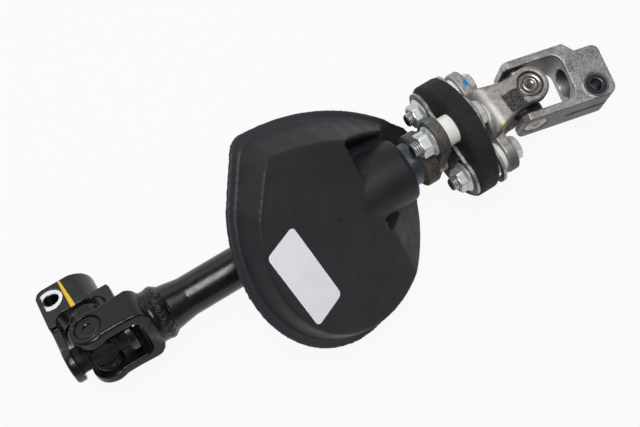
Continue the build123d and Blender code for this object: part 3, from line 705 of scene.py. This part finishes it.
def add_plate_hole(shader):
    """A small hole in the shaft side's stop plate: a dark disc of painted shade, with a bright ring
    round it.
    """
    distance = shader.away_from(coupling_point(PLATE_HOLE))
    rim = shader.band(distance, PLATE_HOLE_RADIUS, PLATE_HOLE_RADIUS + 0.6, soft=0.15)
    shader.cover_with(rim, HOLE_RIM_BRIGHT, roughness=0.25)
    # Painted shade: the hole is a dark disc painted on the plate.
    hole = shader.below(distance, PLATE_HOLE_RADIUS, soft=0.15)
    shader.cover_with(hole, HOLE_SHADE_BLACK, roughness=0.8)


def add_spot(shader, point, size, paint, roughness=0.5, edge=0.9):
    """An uneven spot of paint or stain round a point of the coupling's frame."""
    ragged = shader.maths("MULTIPLY", shader.noise(0.4, 4), size)
    distance = shader.maths("ADD", shader.away_from(coupling_point(point)), ragged)
    shader.cover_with(shader.below(distance, size * 1.5, edge), paint, roughness)


def add_dent(shader, point, size, depth):
    """A small round hollow at a point of the coupling's frame."""
    ragged = shader.maths("MULTIPLY", shader.noise(0.8, 3), size)
    distance = shader.maths("ADD", shader.away_from(coupling_point(point)), ragged)
    hollow = shader.below(distance, size * 1.5, size * 0.5)
    shader.bump(shader.maths("SUBTRACT", 1.0, hollow), depth)


def punched_fork():
    """The fork's black paint, with the punch marks that hold the bearing cup."""
    shader = black_paint("fork_paint", gloss=0.3)
    for mark in PUNCH_MARKS:
        add_dent(shader, mark, size=1.1, depth=0.7)
    return shader


def moulded_plastic():
    """Satin black moulded plastic with fine grain, a little dust and a rim band painted lighter, as
    painted light.
    """
    shader = Shader("moulded_cover", (0.016, 0.016, 0.018), roughness=0.5)
    shader.specular(0.25)
    base = shader.mottled(0.05, 5, low=(0.015, 0.015, 0.018), high=(0.021, 0.021, 0.025))
    dust = shader.maths("MULTIPLY", shader.specks(0.11, 0.018), 0.6)
    shader.colour(shader.mix(dust, base, PLASTIC_DUST))
    shader.rough(shader.mottled(0.15, 5, low=0.42, high=0.58))
    shader.bump(shader.noise(4.0, 3), depth=0.02)
    shader.bump(shader.noise(0.08, 2), depth=0.12)
    # Painted light: the rim band that faces along the rim's normal is painted lighter, as if lit.
    rim_height = shader.along(coupling_point(RIM_POINT), RIM_NORMAL)
    lit_rim_band = shader.both(shader.band(rim_height, *RIM_BAND, soft=0.3), shader.facing(RIM_NORMAL))
    shader.cover_with(lit_rim_band, LIT_RIM_PLASTIC, roughness=0.5)
    add_dent(shader, DEEP_DENT, size=1.7, depth=0.9)
    add_dent(shader, SHALLOW_DENT, size=3.2, depth=0.5)
    return shader


def rubber(name="black_rubber", tone=0.015):
    """Dull dusty rubber with a rough skin."""
    shader = Shader(name, (tone, tone, tone), roughness=0.72)
    shader.specular(0.2)
    base = shader.mottled(0.2, 6, low=tone * 0.75, high=tone * 1.35)
    dust = shader.maths("MULTIPLY", shader.specks(0.16, 0.03), 0.5)
    shader.colour(shader.mix(dust, base, RUBBER_DUST))
    shader.rough(shader.mottled(0.5, 5, low=0.6, high=0.82))
    shader.bump(shader.noise(1.6, 4), depth=0.06)
    return shader


def nylon(name, colour):
    """Milky nylon that lets a little light in."""
    shader = Shader(name, colour, roughness=0.38)
    darker = tuple(channel * 0.93 for channel in colour)
    shader.colour(shader.mottled(0.1, 4, low=darker, high=colour))
    shader.rough(shader.mottled(0.6, 4, low=0.32, high=0.45))
    shader.bsdf.inputs["Subsurface Weight"].default_value = 0.15
    shader.bsdf.inputs["Subsurface Radius"].default_value = (2 * MM, 2 * MM, 2 * MM)
    shader.bump(shader.noise(1.2, 3), depth=0.02)
    return shader


def label_film():
    """A blank white film, faintly uneven."""
    shader = Shader("label_film", (0.80, 0.81, 0.83), roughness=0.45)
    shader.colour(shader.mottled(0.07, 4, low=(0.83, 0.835, 0.90), high=(0.88, 0.885, 0.94)))
    shader.rough(shader.mottled(1.0, 4, low=0.38, high=0.52))
    shader.bump(shader.noise(0.25, 3), depth=0.03)
    return shader


def zinc():
    """Bright zinc plating with a mottled sheen, darker thread grooves and a paint stripe."""
    shader = Shader("zinc_steel", (0.62, 0.64, 0.64), roughness=0.42, metallic=0.7)
    tones = [(0.25, (0.48, 0.495, 0.49)), (0.5, (0.60, 0.62, 0.62)), (0.8, (0.70, 0.72, 0.72))]
    shader.colour(shader.ramp(shader.noise(0.5, 5), tones))
    shader.rough(shader.mottled(0.9, 5, low=0.34, high=0.50))
    shader.bump(shader.noise(0.8, 2), depth=0.004)
    darken_thread_roots(shader)
    add_assembly_stripe(shader)
    return shader


def forging(name, dark, light, roughness, depth, metallic=0.75, grain=0.9):
    """Shot-blasted or scaled forged steel; grain is in features per millimetre."""
    shader = Shader(name, light, roughness, metallic)
    patches = shader.ramp(shader.noise(0.09, 6, 0.6), [(0.35, 0.0), (0.65, 1.0)])
    speckle = shader.ramp(shader.noise(grain, 4, 0.7), [(0.35, 0.0), (0.65, 1.0)])
    large = shader.maths("MULTIPLY", patches, LARGE_PATCH_SHARE)
    small = shader.maths("MULTIPLY", speckle, 1 - LARGE_PATCH_SHARE)
    shader.colour(shader.mix(shader.maths("ADD", large, small), dark, light))
    shader.rough(shader.mottled(grain, 5, low=roughness - 0.08, high=roughness + 0.12))
    shader.bump(shader.noise(grain, 4, 0.6), depth)
    shader.bump(shader.noise(grain * 3, 3), depth * 0.3)
    return shader


def shaft_flange_steel():
    """Brown forging with dark flaky scale laid only on faces turned to −Y, as painted shade, and the
    paint stripe.
    """
    shader = forging(
        "brown_steel",
        dark=(0.034, 0.028, 0.025),
        light=(0.19, 0.16, 0.14),
        roughness=0.5,
        depth=0.10,
        metallic=0.45,
    )
    flakes = shader.ramp(shader.noise(0.55, 5, 0.7), [(0.38, 1.0), (0.58, 0.35)])
    # Partly painted shade: the flakes and their relief are scale, and laying them only on faces turned
    # to −Y paints shade.
    scale_and_shade = shader.both(shader.facing((0.1, -1.0, -0.1)), flakes)
    shader.cover_with(scale_and_shade, (0.016, 0.013, 0.011), roughness=0.55)
    shader.bump(flakes, depth=0.25)
    add_assembly_stripe(shader)
    return shader


def add_dark_mottled_patch(shader):
    """A dark mottled patch on one arm of the flange yoke."""
    x, y, z = shader.local(UPPER_PLACE)
    ragged = shader.maths("MULTIPLY", shader.noise(0.5, 4), 3.0)
    patch = shader.both(
        shader.band(shader.maths("ADD", x, ragged), *PATCH_ALONG, soft=0.4),
        shader.band(shader.maths("ADD", y, ragged), *PATCH_ACROSS, soft=0.4),
        shader.band(z, *PATCH_UP, soft=1.0),
    )
    tones = [(0.42, (0.012, 0.012, 0.012)), (0.62, (0.20, 0.19, 0.18))]
    shader.cover_with(patch, shader.ramp(shader.noise(0.9, 5, 0.75), tones), roughness=0.4)


def flange_yoke_steel():
    """Shot-blasted forging with painted shade facing −Y, a dark patch, two stains and a blue paint
    mark.
    """
    shader = forging(
        "forged_steel",
        dark=(0.20, 0.185, 0.175),
        light=(0.53, 0.505, 0.485),
        roughness=0.50,
        depth=0.06,
        metallic=0.65,
        grain=0.5,
    )
    # Painted shade: faces turned to −Y are darkened, as if in shade.
    painted_shade_side = shader.maths("MULTIPLY", shader.facing((0.1, -1.0, 0.0)), 0.9)
    shader.cover_with(painted_shade_side, (0.055, 0.05, 0.046), roughness=0.5)
    add_dark_mottled_patch(shader)
    add_spot(shader, OLIVE_STAIN, 2.6, OLIVE)
    add_spot(shader, BROWN_STAIN, 2.4, RUST_BROWN)
    add_spot(shader, BLUE_MARK, 2.0, BLUE_PAINT, roughness=0.45, edge=0.4)
    return shader


def column_yoke_steel():
    """Blasted casting with painted shade on faces turned to −Y, and a dark collar pressed into its bolt
    hole.
    """
    shader = forging(
        "column_steel",
        dark=(0.13, 0.125, 0.125),
        light=(0.68, 0.65, 0.65),
        roughness=0.46,
        depth=0.07,
        grain=1.2,
    )
    # Painted shade: faces turned to −Y are darkened, as if in shade.
    painted_shade_side = shader.maths("MULTIPLY", shader.facing((-0.2, -1.0, 0.1)), 0.85)
    shader.cover_with(painted_shade_side, (0.06, 0.058, 0.058), roughness=0.5)
    x, y, _ = shader.local(COLUMN_PLACE)
    from_hole = shader.from_axis(x, y, CLAMP_HOLE)
    collar = shader.below(from_hole, COLLAR_RADIUS, soft=0.1)
    shader.cover_with(collar, COLLAR_BLACK, roughness=0.3)
    inner_rim = (COLLAR_RADIUS - 0.5, COLLAR_RADIUS - 0.1, 0.45)
    outer_groove = (COLLAR_RADIUS, COLLAR_RADIUS + 0.35, 0.02)
    for inside, outside, tone in (inner_rim, outer_groove):
        ring = shader.band(from_hole, inside, outside, soft=0.1)
        shader.cover_with(ring, (tone, tone, tone), roughness=0.3)
    return shader


def bearing_steel(name="bearing_steel"):
    """Ground steel with a light film of rust."""
    return forging(
        name,
        dark=(0.24, 0.205, 0.18),
        light=(0.42, 0.37, 0.33),
        roughness=0.3,
        depth=0.012,
        metallic=0.85,
        grain=1.0,
    )


def cup_steel(name, place):
    """A bearing cup's pressed rings: dull, grooved and lightly rusted."""
    shader = bearing_steel(name)
    x, y, _ = shader.local(place)
    share = shader.maths("DIVIDE", shader.radius(x, y), CUP_RADIUS)
    rings = [
        (0.00, (0.19, 0.17, 0.15)),
        (0.29, (0.22, 0.19, 0.17)),
        (0.34, (0.02, 0.018, 0.016)),
        (0.40, (0.44, 0.42, 0.40)),
        (0.52, (0.36, 0.31, 0.27)),
        (0.57, (0.04, 0.03, 0.022)),
        (0.64, (0.34, 0.29, 0.25)),
        (0.84, (0.42, 0.39, 0.37)),
        (0.90, (0.05, 0.04, 0.035)),
        (0.98, (0.02, 0.02, 0.02)),
    ]
    tint = shader.ramp(share, rings)
    shader.colour(shader.mix(0.75, shader.current("Base Color"), tint))
    return shader


def oily_steel():
    """Steel black with old grease."""
    shader = forging(
        "oily_steel",
        dark=(0.004, 0.0035, 0.003),
        light=(0.014, 0.012, 0.010),
        roughness=0.5,
        depth=0.03,
        metallic=0.0,
        grain=0.8,
    )
    shader.specular(0.15)
    return shader


def tube_steel():
    """Drawn tube, tinted by heat in bands towards the welded flange."""
    shader = Shader("tube_steel", (0.14, 0.16, 0.18), roughness=0.42, metallic=0.75)
    wobble = shader.maths("MULTIPLY", shader.noise(0.14, 4), 16.0)
    station = shader.along(DISC_PLACE.translation, (1, 0, 0))
    along_tint = shader.share(shader.maths("ADD", station, wobble), TINT_START, TINT_END)
    bands = [
        (0.0, (0.30, 0.31, 0.33)),
        (0.3, (0.24, 0.27, 0.31)),
        (0.45, (0.19, 0.21, 0.25)),
        (0.6, (0.075, 0.090, 0.125)),
        (0.75, (0.050, 0.060, 0.085)),
        (0.88, (0.16, 0.15, 0.14)),
        (1.0, (0.22, 0.21, 0.20)),
    ]
    shader.colour(shader.ramp(along_tint, bands))
    straw = shader.ramp(shader.noise(0.22, 4, 0.65), [(0.55, 0.0), (0.64, 0.8)])
    heated = shader.band(station, TINT_START + 6, TINT_END, soft=3.0)
    shader.cover_with(shader.both(straw, heated), STRAW)
    shader.rough(shader.mottled(0.5, 5, low=0.34, high=0.52))
    shader.bump(shader.noise(1.5, 3), depth=0.02)
    return shader


def make_materials():
    """Every surface's material, by its finish."""
    return {
        "black_paint": black_paint().material,
        "fork_paint": punched_fork().material,
        "marked": painted_gear_yoke().material,
        "cover": moulded_plastic().material,
        "rubber": rubber().material,
        "seal": rubber("seal_rubber", tone=0.012).material,
        "spacer": nylon("white_nylon", (0.84, 0.84, 0.81)).material,
        "bush": nylon("bush_nylon", (0.72, 0.69, 0.60)).material,
        "label": label_film().material,
        "zinc": zinc().material,
        "brown": shaft_flange_steel().material,
        "silver": flange_yoke_steel().material,
        "column": column_yoke_steel().material,
        "upper_cups": cup_steel("upper_cup_steel", UPPER_PLACE).material,
        "column_cups": cup_steel("column_cup_steel", BENT_PLACE @ PINS_ALONG_Y).material,
        "tube": tube_steel().material,
        "bearing": bearing_steel().material,
        "oily": oily_steel().material,
        "plate": plate_steel().material,
    }


# Camera: it stands in the coupling's frame, and its sensor's width is in millimetres
CAMERA_AT = Vector((-187.47, -127.61, 535.43)) * MM
CAMERA_TURN = Euler((radians(16.833), radians(-1.551), radians(-32.118)))
FOCAL_PIXELS = 1010.0
PHOTO_WIDTH = 640
SENSOR_WIDTH = 36.0
NEAR_CLIP = 10.0 * MM

# World and floor: strengths and colours are shares of white, lengths are in metres
ROOM_STRENGTH = 0.10
HORIZON_BOTTOM = 0.02
HORIZON_TOP = 0.14
FLOOR_HALF_WIDTH = 6.0
FLOOR_GAP = 0.5 * MM
FLOOR_GLOW = 0.92
FLOOR_COLOUR = (0.5, 0.5, 0.5)

# Softboxes, in metres: name, place from the object's middle, width, height, brightness
LIGHTS = [
    ("overhead", (-0.08, 0.02, 0.8), 0.42, 0.3, 13.5),
    ("panel", (-0.1, 0.8, 0.42), 1.3, 0.55, 1.0),
    ("left", (-0.75, 0.6, 0.5), 0.6, 0.6, 0.7),
    ("fill", (0.95, -0.35, 0.5), 0.7, 0.7, 0.7),
]


def make_camera():
    """The camera that the photo was taken with, as fitted to it."""
    camera = bpy.data.objects.new("camera", bpy.data.cameras.new("camera"))
    bpy.context.scene.collection.objects.link(camera)
    camera.data.sensor_width = SENSOR_WIDTH
    camera.data.lens = FOCAL_PIXELS / PHOTO_WIDTH * SENSOR_WIDTH
    camera.location = CAMERA_AT + DISC_PLACE.translation
    camera.rotation_euler = CAMERA_TURN
    camera.data.clip_start = NEAR_CLIP
    bpy.context.scene.camera = camera


def studio_world():
    """A dim room above a white horizon, which meets the white floor."""
    world = bpy.data.worlds.new("studio")
    bpy.context.scene.world = world
    world.use_nodes = True
    nodes, links = world.node_tree.nodes, world.node_tree.links
    nodes.clear()
    output = nodes.new("ShaderNodeOutputWorld")
    direction = nodes.new("ShaderNodeTexCoord")
    split = nodes.new("ShaderNodeSeparateXYZ")
    links.new(direction.outputs["Generated"], split.inputs[0])
    height = nodes.new("ShaderNodeMapRange")
    height.inputs["From Min"].default_value = HORIZON_TOP
    height.inputs["From Max"].default_value = HORIZON_BOTTOM
    height.inputs["To Min"].default_value = ROOM_STRENGTH
    links.new(split.outputs["Z"], height.inputs["Value"])
    light = nodes.new("ShaderNodeBackground")
    light.inputs["Color"].default_value = (1, 1, 1, 1)
    links.new(height.outputs[0], light.inputs["Strength"])
    links.new(light.outputs[0], output.inputs["Surface"])


def area_light(name, place, width, height, brightness):
    """A softbox of the given size, aimed at the object; its face is white at brightness 1."""
    light = bpy.data.objects.new(name, bpy.data.lights.new(name, "AREA"))
    bpy.context.scene.collection.objects.link(light)
    light.data.shape = "RECTANGLE"
    light.data.size = width
    light.data.size_y = height
    light.data.energy = brightness * pi * width * height
    aim = (cad_low + cad_high) / 2
    light.location = aim + Vector(place)
    light.rotation_euler = (-Vector(place)).to_track_quat("-Z", "Y").to_euler()


def make_floor_material():
    """Matte under the lamps, and nearly white where the camera, a gloss or a clear surface sees it."""
    material = bpy.data.materials.new("floor")
    material.use_nodes = True
    nodes, links = material.node_tree.nodes, material.node_tree.links
    nodes.clear()
    output = nodes.new("ShaderNodeOutputMaterial")
    matte = nodes.new("ShaderNodeBsdfDiffuse")
    matte.inputs["Color"].default_value = (*FLOOR_COLOUR, 1)
    white = nodes.new("ShaderNodeEmission")
    white.inputs["Color"].default_value = (1, 1, 1, 1)
    path = nodes.new("ShaderNodeLightPath")
    seen = path.outputs["Is Camera Ray"]
    for kind in ("Is Glossy Ray", "Is Transmission Ray"):
        either = nodes.new("ShaderNodeMath")
        either.operation = "MAXIMUM"
        links.new(seen, either.inputs[0])
        links.new(path.outputs[kind], either.inputs[1])
        seen = either.outputs[0]
    share = nodes.new("ShaderNodeMath")
    share.operation = "MULTIPLY"
    share.inputs[1].default_value = FLOOR_GLOW
    links.new(seen, share.inputs[0])
    mix = nodes.new("ShaderNodeMixShader")
    links.new(share.outputs[0], mix.inputs[0])
    links.new(matte.outputs[0], mix.inputs[1])
    links.new(white.outputs[0], mix.inputs[2])
    links.new(mix.outputs[0], output.inputs["Surface"])
    return material


def make_floor():
    """A wide white floor just under the object, with a faint shadow."""
    height = cad_low.z - FLOOR_GAP
    signs = ((-1, -1), (1, -1), (1, 1), (-1, 1))
    corners = [(x * FLOOR_HALF_WIDTH, y * FLOOR_HALF_WIDTH, height) for x, y in signs]
    mesh = bpy.data.meshes.new("floor")
    mesh.from_pydata(corners, [], [(0, 1, 2, 3)])
    mesh.materials.append(make_floor_material())
    ground = bpy.data.objects.new("floor", mesh)
    bpy.context.scene.collection.objects.link(ground)


def dress_nodes(materials):
    """Gives every node of the model its material, by its slot or by its name."""
    finish_of_slot = {
        "moulded_cover": "cover",
        "bush_nylon": "bush",
        "white_nylon": "spacer",
        "black_rubber": "rubber",
        "label_paper": "label",
        "black_paint": "black_paint",
        "tube_steel": "tube",
        "brown_steel": "brown",
        "forged_steel": "silver",
        "zinc_steel": "zinc",
        "bearing_steel": "bearing",
    }
    for part in frame["record"]["subparts"]:
        node = frame["nodes"][part["node"]]
        finish = finish_of_slot[part["material_slot"]]
        if part["node"].endswith("_seals"):
            finish = "seal"
        if part["node"].endswith("_stop_plate"):
            finish = "plate"
        if part["node"] == "lower_cross":
            finish = "oily"
        node.data.materials.clear()
        node.data.materials.append(materials[finish])
        crisp(node)


def make_coupling(zinc_steel):
    """The bolts and nuts of the shaft's flange and of the yoke's flange."""
    near_far = [(0.0, BOLT_CIRCLE), (0.0, -BOLT_CIRCLE)]
    left_right = [(BOLT_CIRCLE, 0.0), (-BOLT_CIRCLE, 0.0)]
    bolt_group(
        "shaft_bolts_dressed",
        "shaft_flange_bolts",
        "upper_shaft",
        near_far,
        seat=PLATE_FACE,
        thread_start=SHAFT_THREAD_START,
        material=zinc_steel,
    )
    nut_group(
        "shaft_nuts_dressed",
        "shaft_flange_nuts",
        "upper_shaft",
        near_far,
        seat=SHAFT_FLANGE_BACK,
        height=NUT_HEIGHT,
        material=zinc_steel,
    )
    bolt_group(
        "yoke_bolts_dressed",
        "yoke_flange_bolts",
        "coupling_yoke",
        left_right,
        seat=YOKE_FLANGE_FRONT,
        thread_start=YOKE_THREAD_START,
        material=zinc_steel,
    )
    nut_group(
        "yoke_nuts_dressed",
        "yoke_flange_nuts",
        "coupling_yoke",
        left_right,
        seat=-PLATE_FACE,
        height=LOW_NUT_HEIGHT,
        material=zinc_steel,
    )


def make_joints(materials):
    """The bearing cups of both universal joints."""
    folded_pins = FOLDED_PLACE @ PINS_ALONG_Y
    bent_pins = BENT_PLACE @ PINS_ALONG_Y
    black, oily = materials["fork_paint"], materials["oily"]
    upper, column = materials["upper_cups"], materials["column_cups"]
    cup_group("lower_fork_cups", "lower_shaft", LOWER_PLACE, black)
    cup_group("gear_yoke_cups", "gear_end", folded_pins, oily)
    cup_group("flange_yoke_cups", "coupling_yoke", UPPER_PLACE, upper)
    cup_group("column_yoke_cups", "column_end", bent_pins, column)


def in_place(points, place):
    """Points of the model's frame, in metres, as millimetres in a place's own frame."""
    inverse = np.array(place.inverted())
    return (points @ inverse[:3, :3].T + inverse[:3, 3]) / MM


def out_of_place(points, place):
    """Points of a place's own frame, in millimetres, as metres in the model's frame."""
    forward = np.array(place)
    return (points * MM) @ forward[:3, :3].T + forward[:3, 3]


def fade(values, start, end):
    """0 before start, 1 after end, smooth between."""
    share = np.clip((values - start) / (end - start), 0, 1)
    return share * share * (3 - 2 * share)


def widen_lower_arm(points):
    """The forging flares where the lower arm joins the fork's root."""
    local = in_place(points, LOWER_PLACE)
    behind_cups = fade(local[:, 0], 8.0, 15.0)
    before_neck = fade(-local[:, 0], -30.0, -22.0)
    lower_arm = fade(-local[:, 2], 8.5, 12.0)
    outer_face = fade(local[:, 1], 5.0, 11.0)
    local[:, 1] += ARM_FLARE * behind_cups * before_neck * lower_arm * outer_face
    return out_of_place(local, LOWER_PLACE)


def round_clamp_end(points):
    """Rounds the two upright corners at the column yoke's clamp end."""
    local = in_place(points, COLUMN_PLACE)
    end = local[:, 0].max()
    clamp = local[local[:, 0] > end - CLAMP_CORNER_RADIUS]
    for side, edge in ((1, clamp[:, 1].max()), (-1, -clamp[:, 1].min())):
        centre = np.array([end, edge]) - CLAMP_CORNER_RADIUS
        beyond = np.stack([local[:, 0], side * local[:, 1]], axis=1) - centre
        distance = np.hypot(beyond[:, 0], beyond[:, 1])
        outside = (beyond > 0).all(axis=1) & (distance > CLAMP_CORNER_RADIUS)
        pulled = centre + beyond[outside] * (CLAMP_CORNER_RADIUS / distance[outside])[:, None]
        local[outside, 0] = pulled[:, 0]
        local[outside, 1] = side * pulled[:, 1]
    return out_of_place(local, COLUMN_PLACE)


def make_forgings(materials):
    """The forged and moulded pieces, remeshed with worn edges."""
    black, marked = materials["fork_paint"], materials["marked"]
    silver, column = materials["silver"], materials["column"]
    softened("lower_fork", FORGED_VOXEL, 4, black, widen_lower_arm)
    softened("gear_yoke", FORGED_VOXEL, 4, marked)
    softened("flange_yoke", FORGED_VOXEL, 5, silver)
    softened("column_yoke", FORGED_VOXEL, 3, column, round_clamp_end)
    softened("shaft_flange", FLANGE_VOXEL, 4, materials["brown"])
    softened("cover", COVER_VOXEL, 8, materials["cover"])


def build():
    """Sets up the studio and dresses the whole object."""
    bpy.context.scene.view_settings.view_transform = "Standard"
    make_camera()
    studio_world()
    for light in LIGHTS:
        area_light(*light)
    make_floor()
    materials = make_materials()
    dress_nodes(materials)
    make_coupling(materials["zinc"])
    make_joints(materials)
    make_forgings(materials)


build()
